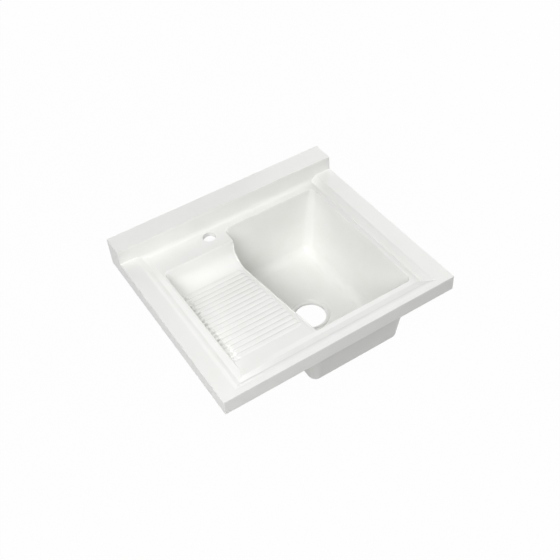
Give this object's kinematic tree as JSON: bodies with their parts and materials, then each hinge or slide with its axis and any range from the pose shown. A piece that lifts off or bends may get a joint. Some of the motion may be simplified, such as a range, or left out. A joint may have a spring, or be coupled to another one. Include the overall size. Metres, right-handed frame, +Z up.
{
  "type": "countertop laundry basin",
  "caption": "Countertop laundry basin: a deep rectangular bowl beside a sloping ribbed washboard, in a recessed deck with a raised border, a rear upstand, a tap hole and a drain hole.",
  "frame": {"origin": "centre of the basin's width and depth, on the underside of the bowl", "axes": "+X to the right as a user faces the basin, +Y to the wall, +Z up"},
  "size_m": [0.6, 0.54, 0.258],
  "materials": {
    "composite": "white mineral-filled acrylic composite sheet, satin to soft gloss, joints bonded and sanded flush",
    "plywood": "unfinished waterproof birch plywood, hidden under the top",
    "brass": "plain turned brass threaded inserts"
  },
  "bodies": {
    "root": {"deck_panel": "composite", "border_left": "composite", "border_right": "composite", "border_front": "composite", "apron_left": "composite", "apron_right": "composite", "apron_front": "composite", "back_panel": "composite", "cove_strip": "composite", "upstand_face": "composite", "upstand_cap": "composite", "upstand_end_left": "composite", "upstand_end_right": "composite", "bowl_shell": "composite", "washboard_panel": "composite", "pocket_side_wall": "composite", "upstand_spacers": "plywood", "batten_left": "plywood", "batten_right": "plywood", "batten_front": "plywood", "batten_rear": "plywood", "corner_blocks": "plywood", "fixing_inserts": "brass"}
  },
  "joints": []
}
